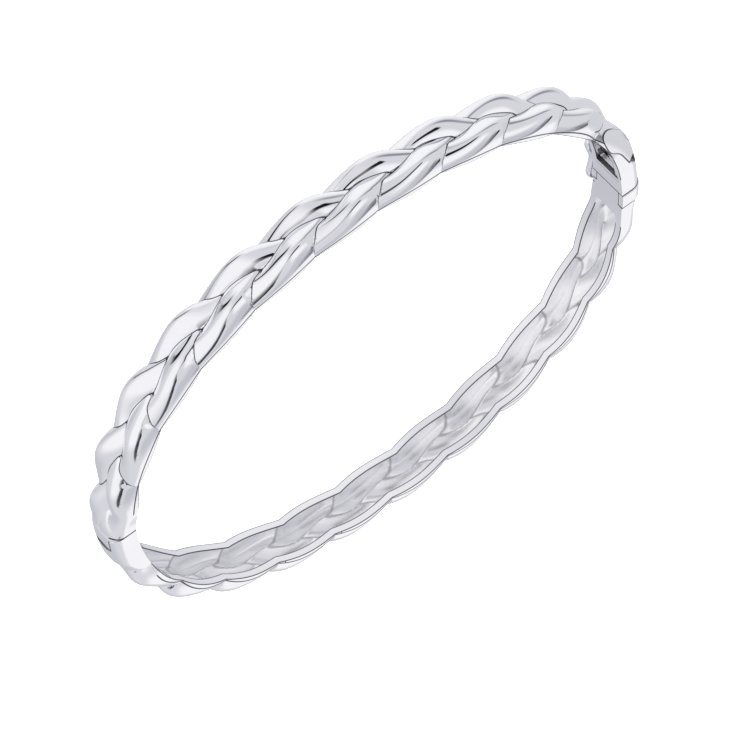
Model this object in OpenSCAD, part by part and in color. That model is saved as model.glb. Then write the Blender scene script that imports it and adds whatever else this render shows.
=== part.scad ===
// Hinged oval bangle with a cast three-strand plait, a box clasp and a figure-eight safety catch.
// The origin is the middle of the wrist opening, halfway across the band.
// The hinge is at +X, the clasp at -X, the front half at -Y and the back half at +Y.

/* [Wrist opening] */
// Long inside width, from hinge to clasp
inner_long = 58; // [54:0.5:64]
// Short inside width
inner_short = 49; // [46:0.5:54]
// Extra fullness of the oval's corners
fullness = 0.33; // [0:0.01:0.6]

/* [Plait] */
// Bumps along one edge of a half
bumps = 12; // [10:1:14]
// Distance from the hinge to the upper edge's first notch
first_notch = 1.04; // [0:0.01:3]
// How far a lower notch follows the upper one, as a share of the pitch
edge_lag = 0.52; // [0.5:0.01:0.6]
// Half width of the band at a bump
reach = 2.61; // [2.5:0.01:2.7]
// Half width of one strand at the band's edge
strand_half = 1.5; // [1.3:0.01:1.6]
// Share by which a strand is wider halfway across the band
widen = 0.22; // [0:0.01:0.3]
// Share by which it is wider where it leaves an edge
widen_late = -0.1; // [-0.2:0.01:0.2]
// How far a strand's swing is flattened
flatten = 0.04; // [0:0.01:0.1]
// Mean height of a strand's crown above the inner face
crest = 2; // [1.9:0.01:2.4]
// How far the crown rises over a crossing and drops under one
weave = 0.48; // [0.2:0.01:0.5]
// Angle by which that rise runs ahead of the crossing
weave_turn = 13.5; // [0:0.5:20]
// Smaller dip of the crown between crossings
dip = 0.07; // [0:0.01:0.1]
// Drop from a crown to a strand's edge inside the band
side_drop = 3.2; // [2.5:0.01:3.5]
// How far that drop changes along a strand
side_turn = 0.34; // [0:0.01:0.5]
// Distance from the band's edge over which the drop turns into the side wall
outer_gap = 0.18; // [0.1:0.01:0.3]
// How far the crown's highest line lies off its middle at an edge, in half widths
ridge_side = 0.24; // [0:0.01:0.4]
// The same halfway across the band
ridge_turn = -0.3; // [-0.4:0.01:0]
// Height of the flat side wall under a bump
bump_wall = 0.52; // [0.3:0.01:1]

/* [Band] */
// Half width of the plain ends
plain_half = 2.2; // [2.1:0.01:2.4]
// Height of the plain ends' flat side walls
plain_wall = 1.2; // [0.8:0.01:1.4]
// Thickness of the plain ends at their middle
plain_top = 2.75; // [2.6:0.01:2.9]
// Width of the flat rim along each inner edge
rim = 0.8; // [0.6:0.01:1]
// Thickness of metal over the hollow back
skin = 0.8; // [0.6:0.01:1]

/* [Hinge] */
// Pin axis above the inner face
pin_height = 1.35; // [1.3:0.01:1.4]
// Pin radius
pin_r = 0.45; // [0.35:0.01:0.5]
// Outer radius of the knuckles
knuckle_r = 1.4; // [1.35:0.01:1.45]
// Reach of the knuckles' inner corners past the pin
tab_reach = 1.5; // [1.4:0.01:1.6]
// Lower end of the middle knuckle
knuckle_low = -1.6; // [-1.7:0.01:-1.4]
// Upper end of the middle knuckle
knuckle_high = 1.2; // [1:0.01:1.4]
// Angle between the pin's side and the edge of a tab's own body
own_side = 12; // [8:1:16]
// Angle between the pin's side and the other half's edge
other_side = 40; // [36:1:44]

/* [Clasp] */
// Distance of the clasp's seam past the long axis
seam_y = 0.4; // [0.3:0.01:0.5]
// Length of the thumb piece's collar
collar_length = 1.8; // [1.6:0.01:2]
// Length of its shorter lower side
collar_short = 1.15; // [1:0.01:1.2]
// How far the collar stands proud of the band
collar_proud = 0.12; // [0.05:0.01:0.2]
// Height of the plate under the collar
core_top = 1.2; // [1.1:0.01:1.3]
// Half width of the plate under the collar
core_half = 1.6; // [1.5:0.01:1.65]
// Half width of the tongue's box
box_half = 1.45; // [1.4:0.01:1.5]
// Floor of the tongue's box
box_floor = 0.75; // [0.7:0.01:0.8]
// Roof of the tongue's box
box_roof = 2.05; // [2:0.01:2.1]
// Depth of the tongue's box behind the long axis
box_depth = 2.5; // [2.4:0.01:2.6]
// Half width of the tongue
tongue_half = 1.27; // [1.2:0.01:1.3]
// Radius of the fold at the tongue's tip
fold_r = 0.32; // [0.3:0.01:0.33]

/* [Safety catch] */
// Radius of the catch's lobes
lobe_r = 1.6; // [1.5:0.01:1.7]
// Width of the catch's wire
wire = 0.6; // [0.5:0.01:0.65]
// Thickness of the catch
catch_thick = 0.7; // [0.6:0.01:0.75]
// Middle of the catch's thickness, below the middle of the band
catch_z = -2.85; // [-2.95:0.01:-2.8]
// Pivot's place behind the long axis
pivot_y = -4.1; // [-4.3:0.01:-4]
// Middle of the far lobe
far_lobe_y = 1.75; // [1.65:0.01:1.8]
// Bead's place past the long axis
bead_y = 2.12; // [2.1:0.01:2.15]

/* [Hidden] */
$fn = 72;

silver = [0.87, 0.88, 0.9];
steel = [0.78, 0.79, 0.82];

// Gap at the seams between pieces that move
seam_gap = 0.14;
// Gap at the hinge's seams
hinge_gap = 0.08;
// Running clearance round the pins
pin_clear = 0.03;
// Overlap that joins the pieces of one solid
eps = 0.05;
// Room past the section in every cut
big = 8;

oval_steps = 240;
casting_rows = 84;
collar_rows = 3;
dome_steps = 14;
hollow_steps = 6;
hollow_share = 0.92;
hub_height = 1;

skew = 120 * (edge_lag - 0.5);
swing = reach - strand_half;
notch_half = strand_half + swing / 2;
notch_wall = 0.06;
least_depth = 0.05;
plain_square = 2.4;

// Hinge places
pin_x = inner_long / 2 + pin_height;
pin_low = -2.1;
pin_high = 1.85;
sweep_past = 2.3;

// Clasp places
clasp_x = -inner_long / 2;
collar_start = seam_y + seam_gap / 2;
collar_end = collar_start + collar_length;
short_end = collar_start + collar_short;
collar_inner = core_half + hinge_gap;
mouth = 1.2;
slit_roof = 1.9;
slit_half = 1.4;
leaf = 0.25;
fold_y = -1.75;
fold_height = core_top + 0.1;
fold_gap = 0.06;
press_room = 0.55;
upper_low = fold_height + fold_r + fold_gap;
bridge_low = core_top + press_room;

// Recess beside the clasp's cap
recess_z = 1.5;
recess_low = 1.1;
recess_high = 2.3;
recess_front = -4.4;
recess_back = -3.2;
recess_slant = 0.3;

// Safety catch places
catch_height = 1.25;
catch_x = clasp_x - catch_height;
bar_r = wire / 2;
lug_wall = 0.32;
lug_r = bar_r + lug_wall;
lug_half = 0.5;
lug_room = 0.1;
root_depth = 0.4;
lug_root = root_depth - plain_half;
lobe_waist = 1.05;
bead_r = 0.42;
stem_r = 0.3;

function mix(a, b, k) = a + (b - a) * k;
function ramp(x, a, b) =
  let (k = min(1, max(0, (x - a) / (b - a))))
  k * k * (3 - 2 * k);

// The inner oval, turned through the angle t from the hinge towards the front
function oval(t) = [
  (inner_long / 2 + fullness) * cos(t) - fullness * cos(3 * t),
  -(inner_short / 2 + fullness) * sin(t) - fullness * sin(3 * t)
];

// Run along the oval against its angle
run_table = [
  for (i = 0, run = 0; i <= oval_steps;
       run = run + norm(oval((i + 1) * 180 / oval_steps) - oval(i * 180 / oval_steps)), i = i + 1)
    [run, i * 180 / oval_steps]
];
half_run = run_table[oval_steps][0];
pitch = half_run / bumps;

clasp_run = half_run + seam_y;

// Where the plait and the hollow fade in and out along each half
front_plait = [0.8, 5.2, half_run - 9.5, half_run - 5.8];
back_plait = [2, 8, half_run - 8, half_run - 3];
front_hollow = [4.2, 5.6, half_run - 2.4, half_run - 1.6];
back_hollow = [3.6, 5.2, half_run - 5.8, half_run - 4.4];
none = [half_run, 2 * half_run, 2 * half_run, 3 * half_run];

// Angle of the oval at a run from the hinge, also a little before it and past the clasp
function oval_angle(s) =
  s < 0 ? -lookup(-s, run_table)
  : s > half_run ? 180 + lookup(s - half_run, run_table)
  : lookup(s, run_table);
function tangent(s) =
  let (t = oval_angle(s), d = oval(t + 0.5) - oval(t - 0.5))
  d / norm(d);
function normal(s) = let (d = tangent(s)) [-d.y, d.x];
function place(s, r, z) = let (p = oval(oval_angle(s)) + r * normal(s)) [p.x, p.y, z];

// The plait: three strands swing from edge to edge, a third of a turn apart. A strand is
// [turn, z of its middle, half width, height of its crown]
function strand(s, i) =
  let (a = 30 - skew / 2 + 120 * (s - first_notch) / pitch + 120 * i, b = a + skew * sin(a))
  [
    a,
    swing * (sin(b) - flatten * sin(3 * b)) / (1 + flatten),
    strand_half * (1 + widen * pow(cos(b), 2) + widen_late * sin(2 * b) / 2),
    crest - weave * sin(2 * a + weave_turn) - dip * cos(4 * a)
  ];

// Half widths of the band at its upper edge, where side is 1, and at its lower edge, at -1
function band_edge(s, side) = max([for (i = [0:2]) let (p = strand(s, i)) side * p[1] + p[2]]);
function wall_height(edge) = max(notch_wall, bump_wall * (edge - notch_half) / (swing / 2));

// Height of a strand at z. Its crown is half an ellipse to each side of its highest line, and
// falls to the side wall at the band's edge and deeper inside the band
function strand_height(p, z, up, low, foot) =
  let (q = max(-1, min(1, (z - p[1]) / p[2])),
       ridge = ridge_side * sin(p[0]) + ridge_turn * cos(p[0]),
       side = q > ridge ? 1 : -1,
       across = min(1, abs(q - ridge) / (1 - side * ridge)),
       gap = side > 0 ? up - p[1] - p[2] : low + p[1] - p[2],
       inner = side_drop + side * side_turn * cos(p[0]),
       drop = mix(inner, p[3] - foot, ramp(1 - gap / outer_gap, 0, 1)))
  p[3] - drop * (1 - sqrt(1 - across * across));
function plait_height(s, z) =
  let (up = band_edge(s, 1), low = band_edge(s, -1),
       foot = mix(wall_height(low), wall_height(up), (z + low) / (up + low)))
  max(foot, max([for (i = [0:2]) strand_height(strand(s, i), z, up, low, foot)]));
function plain_height(z) =
  plain_wall + (plain_top - plain_wall)
  * pow(1 - pow(min(1, abs(z / plain_half)), plain_square), 1 / plain_square);

// Outside of the band: the plait where k is 1, the plain end where it is 0
function outside_height(s, u, k) =
  let (up = band_edge(s, 1), low = band_edge(s, -1))
  mix(plain_height(-plain_half * cos(u)),
      plait_height(s, (up - low) / 2 - (up + low) / 2 * cos(u)), k);

// One closed section, as [height, z]: up the lower wall, over the crown, down the upper wall
// and back along the rims and the hollow. k shares it between plait and plain end, hollow
// scales the depth of the hollow, and proud lifts the outside
function section(s, k, hollow, proud) =
  let (up = mix(plain_half, band_edge(s, 1), k) + proud,
       low = mix(plain_half, band_edge(s, -1), k) + proud,
       mid = (up - low) / 2, half = (up + low) / 2, wide = half - rim)
  concat(
    [[0, -low]],
    [for (j = [0:dome_steps])
      let (u = 180 * j / dome_steps)
      [outside_height(s, u, k) + proud, mid - half * cos(u)]],
    [[0, up], [0, mid + wide]],
    [for (j = [0:hollow_steps])
      let (f = hollow_share * cos(180 * j / hollow_steps), z = mid + wide * f)
      [hollow * max(least_depth, outside_height(s, acos((mid - z) / half), k) - skin), z]],
    [[0, mid - wide]]
  );

// How much of the relief or the hollow shows at a run: w holds where it fades in and out
function window(s, w) = ramp(s, w[0], w[1]) * (1 - ramp(s, w[2], w[3]));

// A casting swept from run s0 to s1 in the given number of rows
module casting(s0, s1, rows, plait, hollow, proud) {
  rings = [
    for (i = [0:rows])
      let (s = mix(s0, s1, i / rows))
      [for (p = section(s, window(s, plait), window(s, hollow), proud)) place(s, p[0], p[1])]
  ];
  n = len(rings[0]);
  last = rows * n;
  sides = [
    for (i = [0:rows - 1], j = [0:n - 1])
      let (a = i * n + j, b = i * n + (j + 1) % n, c = b + n, d = a + n)
      each [[a, c, b], [a, d, c]]
  ];
  // Each end is a fan of faces round a point inside the section
  hubs = [place(s0, hub_height, 0), place(s1, hub_height, 0)];
  caps = [
    for (j = [0:n - 1])
      let (next = (j + 1) % n)
      each [[last + n, j, next], [last + n + 1, last + next, last + j]]
  ];
  polyhedron(points = concat([for (ring = rings) each ring], hubs), faces = concat(sides, caps));
}

// Hinge in plan: what is cut off the end of a knuckle that reaches to -Y
module knuckle_end() {
  difference() {
    polygon([
      [pin_x, 0], [pin_x + big, big * tan(own_side)], [pin_x + big, -big],
      [pin_x - big, -big], [pin_x - big, -tab_reach], [pin_x, -tab_reach]
    ]);
    translate([pin_x, 0])
      circle(r = knuckle_r);
  }
}

// Hinge in plan: what is cut out of the other half, so that this knuckle can turn
module knuckle_room() {
  reach = tab_reach + hinge_gap;
  translate([pin_x, 0])
    circle(r = knuckle_r + hinge_gap);
  polygon([
    [pin_x - big, -reach], [pin_x, -reach], [pin_x, 0],
    [pin_x + big, -big * tan(other_side)], [pin_x + big, big], [pin_x - big, big]
  ]);
}

module between(z0, z1) {
  translate([0, 0, z0])
    linear_extrude(height = z1 - z0)
      children();
}
module pin_bore(z0, z1) {
  translate([pin_x, 0, z0])
    cylinder(h = z1 - z0, r = pin_r + pin_clear);
}

// A block at the clasp, from height r0 to r1 above the inner face, y0 to y1 and z0 to z1
module clasp_block(r0, r1, y0, y1, z0, z1) {
  translate([clasp_x - r1, y0, z0])
    cube([r1 - r0, y1 - y0, z1 - z0]);
}

// A round bar across the band, centred at the catch's middle
module cross_bar(half, r) {
  translate([catch_x - half, pivot_y, catch_z])
    rotate([0, 90, 0])
      cylinder(h = 2 * half, r = r);
}

module catch_lug() {
  difference() {
    union() {
      cross_bar(lug_half, lug_r);
      translate([catch_x - lug_half, pivot_y - lug_r, catch_z])
        cube([2 * lug_half, 2 * lug_r, lug_root - catch_z]);
    }
    cross_bar(lug_half + eps, bar_r + pin_clear);
  }
}

// Bead on a stem that is let into the side of the back half
module catch_bead() {
  color(silver)
    translate([catch_x, bead_y, catch_z])
      union() {
        sphere(r = bead_r);
        cylinder(h = lug_root - catch_z, r = stem_r);
      }
}

// The dark three-cornered recess beside the clasp's cap
module cap_recess() {
  between(recess_z, big)
    polygon([
      [clasp_x - recess_low, recess_front], [clasp_x - big, recess_front - recess_slant],
      [clasp_x - big, recess_back], [clasp_x - recess_high, recess_back]
    ]);
}

// Front half: plait, box for the tongue, middle knuckle and the catch's lug
module front_half() {
  color(silver)
    union() {
      difference() {
        casting(-sweep_past, clasp_run - seam_gap / 2, casting_rows, front_plait, front_hollow, 0);
        between(knuckle_high, big)
          knuckle_room();
        between(-big, knuckle_low)
          knuckle_room();
        between(knuckle_low - eps, knuckle_high + eps)
          mirror([0, 1])
            knuckle_end();
        pin_bore(knuckle_low - eps, knuckle_high + eps);
        clasp_block(box_floor, box_roof, -box_depth - mouth, seam_y + eps, -box_half, box_half);
        clasp_block(-big, slit_roof, -box_depth - mouth, -box_depth, -slit_half, slit_half);
        cap_recess();
      }
      catch_lug();
    }
}

// Back half: plait, outer knuckles, plate under the collar, lower leaf and the catch's bead
module back_half() {
  color(silver)
    union() {
      difference() {
        rotate([0, 0, 180])
          casting(collar_start, half_run + sweep_past, casting_rows, back_plait, back_hollow, 0);
        between(knuckle_low - hinge_gap, knuckle_high + hinge_gap)
          mirror([0, 1])
            knuckle_room();
        between(knuckle_high + hinge_gap - eps, big)
          knuckle_end();
        between(-big, knuckle_low - hinge_gap + eps)
          knuckle_end();
        pin_bore(-big, pin_high + pin_clear);
        clasp_block(core_top, big, -big, collar_end + seam_gap, -collar_inner, big);
        clasp_block(-big, big, -big, collar_end + seam_gap, core_half, big);
        clasp_block(-big, big, -big, short_end + seam_gap, -big, -core_half);
        catch_bead();
      }
      clasp_block(core_top - leaf, core_top, fold_y, collar_start + leaf, -tongue_half, tongue_half);
      translate([clasp_x - fold_height, fold_y, -tongue_half])
        cylinder(h = 2 * tongue_half, r = fold_r);
    }
}

module hinge_pin() {
  color(steel)
    translate([pin_x, 0, pin_low])
      cylinder(h = pin_high - pin_low, r = pin_r);
}

// Thumb piece: collar over the outside and both sides, with the tongue's upper leaf
module thumb_piece() {
  color(silver)
    union() {
      difference() {
        rotate([0, 0, 180])
          casting(collar_start, collar_end, collar_rows, none, none, collar_proud);
        clasp_block(-big, bridge_low, -big, big, -collar_inner, collar_inner);
        clasp_block(-big, big, collar_end, big, -big, big);
        clasp_block(-big, big, short_end, big, -big, -core_half);
      }
      clasp_block(upper_low, bridge_low + leaf, fold_y - leaf, collar_end - leaf,
                  -tongue_half, tongue_half);
    }
}

// Safety catch in plan: two lobes and a waist, with a hole in each lobe
module catch_outline(r, waist) {
  near_y = pivot_y + lobe_r - bar_r;
  waist_y = (near_y + far_lobe_y) / 2;
  translate([catch_x, near_y])
    circle(r = r);
  translate([catch_x, far_lobe_y])
    circle(r = r);
  polygon([
    [catch_x - r, near_y], [catch_x - waist, waist_y], [catch_x - r, far_lobe_y],
    [catch_x + r, far_lobe_y], [catch_x + waist, waist_y], [catch_x + r, near_y]
  ]);
}

module safety_catch() {
  color(silver)
    union() {
      difference() {
        between(catch_z - catch_thick / 2, catch_z + catch_thick / 2)
          difference() {
            catch_outline(lobe_r, lobe_waist);
            difference() {
              catch_outline(lobe_r - wire, lobe_waist - wire);
              translate([catch_x, (pivot_y + lobe_r - bar_r + far_lobe_y) / 2])
                square([2 * lobe_r, wire], center = true);
            }
          }
        translate([catch_x, pivot_y, catch_z])
          cube([2 * lug_half + 2 * lug_room, 2 * lug_r + 2 * lug_room, big], center = true);
      }
      cross_bar(lug_half + lug_room + eps, bar_r);
    }
}

front_half();
back_half();
hinge_pin();
catch_bead();
thumb_piece();
safety_catch();
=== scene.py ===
# Hinged plaited bangle in polished white metal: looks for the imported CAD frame.
from math import cos, radians, sin, tan
import bpy
import numpy as np
from mathutils import Matrix, Vector


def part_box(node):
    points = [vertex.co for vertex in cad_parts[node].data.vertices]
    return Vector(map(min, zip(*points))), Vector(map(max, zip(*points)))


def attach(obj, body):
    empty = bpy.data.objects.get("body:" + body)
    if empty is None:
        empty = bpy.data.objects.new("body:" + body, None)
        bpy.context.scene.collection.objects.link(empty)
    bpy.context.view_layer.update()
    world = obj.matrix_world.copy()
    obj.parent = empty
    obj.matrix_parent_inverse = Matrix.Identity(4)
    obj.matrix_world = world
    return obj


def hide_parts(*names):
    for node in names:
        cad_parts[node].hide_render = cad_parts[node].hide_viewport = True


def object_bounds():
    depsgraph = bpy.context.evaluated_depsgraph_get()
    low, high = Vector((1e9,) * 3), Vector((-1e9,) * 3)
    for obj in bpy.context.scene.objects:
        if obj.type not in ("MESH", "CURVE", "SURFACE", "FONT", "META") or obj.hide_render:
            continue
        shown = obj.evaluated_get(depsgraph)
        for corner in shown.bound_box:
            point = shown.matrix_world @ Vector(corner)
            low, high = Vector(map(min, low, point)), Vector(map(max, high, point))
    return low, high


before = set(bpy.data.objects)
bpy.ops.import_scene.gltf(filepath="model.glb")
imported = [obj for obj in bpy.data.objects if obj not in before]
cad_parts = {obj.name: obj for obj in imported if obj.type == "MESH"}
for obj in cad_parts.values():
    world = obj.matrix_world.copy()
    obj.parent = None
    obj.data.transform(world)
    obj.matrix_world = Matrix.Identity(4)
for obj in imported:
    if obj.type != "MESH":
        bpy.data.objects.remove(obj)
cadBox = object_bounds()
print("frame loaded")

mm = 0.001  # the dictionaries below are in millimetres
scene = bpy.context.scene


# Meshes from arrays

def makeMesh(name, points, faces):
    # points is n by 3 in millimetres, faces is a list or array of corners, all facing outwards
    mesh = bpy.data.meshes.new(name)
    mesh.from_pydata((np.asarray(points, float) * mm).tolist(), [], [list(f) for f in faces])
    mesh.validate()
    mesh.update()
    return mesh


def makeDense(name, points, triangles):
    # the same for a closed mesh of triangles, turned to face outwards if its volume is negative
    mesh = bpy.data.meshes.new(name)
    count = len(triangles)
    a, b, c = (points[triangles[:, k]] for k in range(3))
    if np.einsum("ij,ij->", a, np.cross(b, c)) < 0:
        triangles = triangles[:, ::-1]
    mesh.vertices.add(len(points))
    mesh.vertices.foreach_set("co", (points * mm).astype(np.float32).ravel())
    mesh.loops.add(count * 3)
    mesh.loops.foreach_set("vertex_index", triangles.astype(np.int32).ravel())
    mesh.polygons.add(count)
    mesh.polygons.foreach_set("loop_start", np.arange(0, count * 3, 3, dtype=np.int32))
    mesh.update(calc_edges=True)
    mesh.validate()
    return mesh


def addObject(name, mesh, finish=None):
    piece = bpy.data.objects.new(name, mesh)
    scene.collection.objects.link(piece)
    if finish:
        mesh.materials.append(finish)
    return piece


def tube(rings):
    # triangles over rings of points, each closed on itself, with a fan at each end
    rows, ring = rings.shape[:2]
    i = np.arange(rows - 1)[:, None] * ring
    a = np.arange(ring)[None, :]
    b = (a + 1) % ring
    walls = np.concatenate([np.stack([i + a, i + ring + a, i + ring + b], -1).reshape(-1, 3),
                            np.stack([i + a, i + ring + b, i + b], -1).reshape(-1, 3)])
    a, b, end = a[0], b[0], (rows - 1) * ring
    first = np.full(ring, rows * ring)
    fanA, fanB = np.stack([first, a, b], -1), np.stack([first + 1, end + b, end + a], -1)
    return np.concatenate([walls, fanA, fanB])


def quads(rows, columns, openRows=True, openColumns=False):
    # faces of a grid of points, which closes on itself where it isn't open
    i, j = np.arange(rows - openRows)[:, None], np.arange(columns - openColumns)[None, :]
    i2, j2 = (i + 1) % rows, (j + 1) % columns
    corners = [i * columns + j, i * columns + j2, i2 * columns + j2, i2 * columns + j]
    return np.stack(corners, -1).reshape(-1, 4).tolist()


def lids(ring, rows=2):
    # both end faces of a stack of rings of points
    last = (rows - 1) * ring
    return [list(range(ring))[::-1], list(range(last, last + ring))]


def prism(name, outline, low, high, finish=None):
    # an upright block on a flat outline, which is turned to run anticlockwise
    n = len(outline)
    x, y = np.array(outline).T
    if np.sum(x * np.roll(y, -1) - y * np.roll(x, -1)) < 0:
        outline = outline[::-1]
    points = [(x, y, z) for z in (low, high) for x, y in outline]
    return addObject(name, makeMesh(name, points, lids(n) + quads(2, n)), finish)


def disc(x, y, r, steps, start=0.0, turn=360.0):
    # points on a circle, or on an arc with both its ends
    closed = turn == 360.0
    angles = np.radians(start + turn * np.arange(steps + (not closed)) / steps)
    return [(x + r * cos(a), y + r * sin(a)) for a in angles]


def settle(piece):
    # keep what the piece's modifiers make as its own mesh
    graph = bpy.context.evaluated_depsgraph_get()
    result = bpy.data.meshes.new_from_object(piece.evaluated_get(graph))
    piece.modifiers.clear()
    old = piece.data
    piece.data = result
    result.name = old.name
    bpy.data.meshes.remove(old)


def combine(piece, cutters, finish=None, operation="DIFFERENCE"):
    # subtract or add each cutter, whose own finish stays on the faces that it leaves
    for cutter in cutters:
        if finish and not cutter.data.materials:
            cutter.data.materials.append(finish)
        step = piece.modifiers.new(cutter.name, "BOOLEAN")
        step.operation = operation
        step.material_mode = "TRANSFER"
        step.solver = "MANIFOLD"
        step.object = cutter
    settle(piece)
    for cutter in cutters:
        mesh = cutter.data
        bpy.data.objects.remove(cutter)
        bpy.data.meshes.remove(mesh)


def sharpen(piece, degrees):
    # smooth shading with creases where faces meet at more than the angle
    piece.data.shade_smooth()
    piece.data.set_sharp_from_angle(angle=radians(degrees))


# Oval of the wrist opening, measured by its run from the hinge

pinLow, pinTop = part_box("hinge_pin")
oval = dict(
    pinHeight=1.35,      # pin axis above the inner face
    ratio=49 / 58,       # short inside width over the long one
    fullness=0.33,       # extra fullness of the corners
)
pinX = (pinLow[0] + pinTop[0]) / 2 / mm
longHalf = pinX - oval["pinHeight"]
shortHalf = longHalf * oval["ratio"]


def ovalAt(t):
    # x = (a + f) cos t - f cos 3t, y = -(b + f) sin t - f sin 3t
    f = oval["fullness"]
    return np.stack([(longHalf + f) * np.cos(t) - f * np.cos(3 * t),
                     -(shortHalf + f) * np.sin(t) - f * np.sin(3 * t)], -1)


ovalTurn = np.linspace(-0.3, np.pi + 0.3, 6001)
ovalPoints = ovalAt(ovalTurn)
ovalRun = np.concatenate([[0], np.cumsum(np.hypot(*np.diff(ovalPoints, axis=0).T))])
ovalRun -= np.interp(0, ovalTurn, ovalRun)
halfRun = np.interp(np.pi, ovalTurn, ovalRun)


def onBand(s, r, z):
    # the point at run s, height r out from the oval and z across the band
    t = np.interp(s, ovalRun, ovalTurn)
    d = ovalAt(t + 1e-3) - ovalAt(t - 1e-3)
    d /= np.linalg.norm(d, axis=-1, keepdims=True)
    p = ovalAt(t)
    return np.stack(np.broadcast_arrays(p[..., 0] - d[..., 1] * r, p[..., 1] + d[..., 0] * r, z), -1)


# Materials: polished white metal with faint marks of the polishing wheel, and dark fine lines of painted
# shade in its creases, along its rims and at its seams; the hollow is satin

finish = dict(
    metal=(0.93, 0.93, 0.955), shade=(0.80, 0.80, 0.85),    # the metal and its faint duller patches
    polish=0.02, patch=0.03, satin=0.3,   # roughness: polished, added in patches, in the hollow
    patchScale=160, patchLow=0.35, patchHigh=0.7, patchShare=0.25,
    markScale=5400, markStretch=(0.12, 1.0, 0.5), markTurn=(0.3, 0.2, 0.8),
    markDepth=0.00001,                    # in metres
    # the colour of the fine lines: painted shade in creases, along rims and at seams
    paintedShadeTone=(0.05, 0.05, 0.07),
    lineRough=0.3,                        # roughness added on a line
    creaseWidth=0.055, rimWidth=0.07, hollowWidth=0.08, wallWidth=0.07,
    seamWidth=0.07, foldWidth=0.14,       # half widths of the painted shade lines, in mm
    foldStrength=0.4,                     # how dark the painted shade of the folds inside the hollow is
    lineDepth=0.3,                        # a crease lies less than this below the outer surface
)
paintedShadeMarks = dict(Crease="crease", Rim="rimEdge", Hollow="hollowEdge", Wall="wallEdge", Seam="seamEdge",
                 Fold="fold")   # each socket of the group of painted shade lines and its mark on a mesh


def group(name, inputs, outputs):
    # an empty shader group with named sockets, its nodes and its two ends
    made = bpy.data.node_groups.new(name, "ShaderNodeTree")
    for direction, sockets in (("INPUT", inputs), ("OUTPUT", outputs)):
        for socket, kind in sockets.items():
            made.interface.new_socket(socket, in_out=direction, socket_type="NodeSocket" + kind)
    start, end = made.nodes.new("NodeGroupInput"), made.nodes.new("NodeGroupOutput")
    return made, start, end


def feed(tree, socket, value):
    # link another node's output to a socket, or set a plain value on it
    if isinstance(value, bpy.types.NodeSocket):
        tree.links.new(value, socket)
    else:
        socket.default_value = value


def node(tree, kind, settings=None, **values):
    # a node with its settings, and its input sockets by name (underscores for spaces)
    made = tree.nodes.new("ShaderNode" + kind)
    for key, value in (settings or {}).items():
        setattr(made, key, value)
    for key, value in values.items():
        feed(tree, made.inputs[key.replace("_", " ")], value)
    return made


def mathNode(tree, operation, first, second):
    # the output of a math node
    made = node(tree, "Math", dict(operation=operation))
    feed(tree, made.inputs[0], first)
    feed(tree, made.inputs[1], second)
    return made.outputs[0]


def colourMix(tree, share, first, second):
    # the colours of a mix node are its inputs 6 and 7, and its output 2
    made = node(tree, "Mix", dict(data_type="RGBA"))
    for place, value in ((0, share), (6, first), (7, second)):
        feed(tree, made.inputs[place], value)
    return made.outputs[2]


def makePaintedShadeGroup():
    # painted shade within each line's half width: a mark is 1 on its line and falls by 2 for each mm
    made, start, end = group("paintedShadeLines", dict.fromkeys(paintedShadeMarks, "Float"), dict(Mask="Float"))
    total = 0.0
    for socket in paintedShadeMarks:
        width = finish[socket.lower() + "Width"]
        line = node(made, "MapRange", dict(interpolation_type="SMOOTHSTEP"), Value=start.outputs[socket],
                    From_Min=1 - 3 * width, From_Max=1 - width,
                    To_Max=finish["foldStrength"] if socket == "Fold" else 1.0)
        total = mathNode(made, "MAXIMUM", line.outputs[0], total)
    made.links.new(total, end.inputs["Mask"])
    return made


def makePolishGroup():
    # soft patches left by polishing, and hairline marks much longer than wide
    made, start, end = group("polishMarks", dict(Place="Vector"), dict(Patch="Float", Height="Float"))
    patch = node(made, "TexNoise", Vector=start.outputs["Place"], Scale=finish["patchScale"], Detail=3.0)
    spread = node(made, "MapRange", Value=patch.outputs["Fac"], From_Min=finish["patchLow"],
                  From_Max=finish["patchHigh"])
    stretched = node(made, "Mapping", Vector=start.outputs["Place"], Scale=finish["markStretch"],
                     Rotation=finish["markTurn"])
    hairs = node(made, "TexNoise", Vector=stretched.outputs[0], Scale=finish["markScale"], Detail=2.0)
    made.links.new(spread.outputs[0], end.inputs["Patch"])
    made.links.new(hairs.outputs["Fac"], end.inputs["Height"])
    return made


paintedShadeGroup, polishGroup = makePaintedShadeGroup(), makePolishGroup()


def metalMaterial(name, metal, shade, polish, patch, hair, paintedShadeShare=1.0):
    # polish and patch are roughnesses, hair is the strength of the hairline marks; the last argument is the
    # share of painted shade lines
    material = bpy.data.materials.new(name)
    material.use_nodes = True
    tree = material.node_tree
    shader = tree.nodes["Principled BSDF"]
    place = node(tree, "TexCoord")
    marks = node(tree, "Group", dict(node_tree=polishGroup), Place=place.outputs["Object"])
    marked = {socket: node(tree, "Attribute", dict(attribute_name=mark)).outputs["Fac"]
              for socket, mark in paintedShadeMarks.items()}
    lines = node(tree, "Group", dict(node_tree=paintedShadeGroup), **marked)
    paintedShadeMask = mathNode(tree, "MULTIPLY", lines.outputs["Mask"], paintedShadeShare)
    patched = mathNode(tree, "MULTIPLY", marks.outputs["Patch"], finish["patchShare"])
    tone = colourMix(tree, patched, (*metal, 1), (*shade, 1))
    # the fine lines darken the colour: painted shade
    tone = colourMix(tree, paintedShadeMask, tone, (*finish["paintedShadeTone"], 1))
    rough = mathNode(tree, "MULTIPLY", marks.outputs["Patch"], patch)
    rough = mathNode(tree, "ADD", rough, polish)
    rough = mathNode(tree, "ADD", rough, mathNode(tree, "MULTIPLY", paintedShadeMask, finish["lineRough"]))
    bump = node(tree, "Bump", Strength=hair, Distance=finish["markDepth"], Height=marks.outputs["Height"])
    for socket, value in (("Base Color", tone), ("Roughness", rough), ("Normal", bump.outputs[0]),
                          ("Metallic", 1)):
        feed(tree, shader.inputs[socket], value)
    return material


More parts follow.
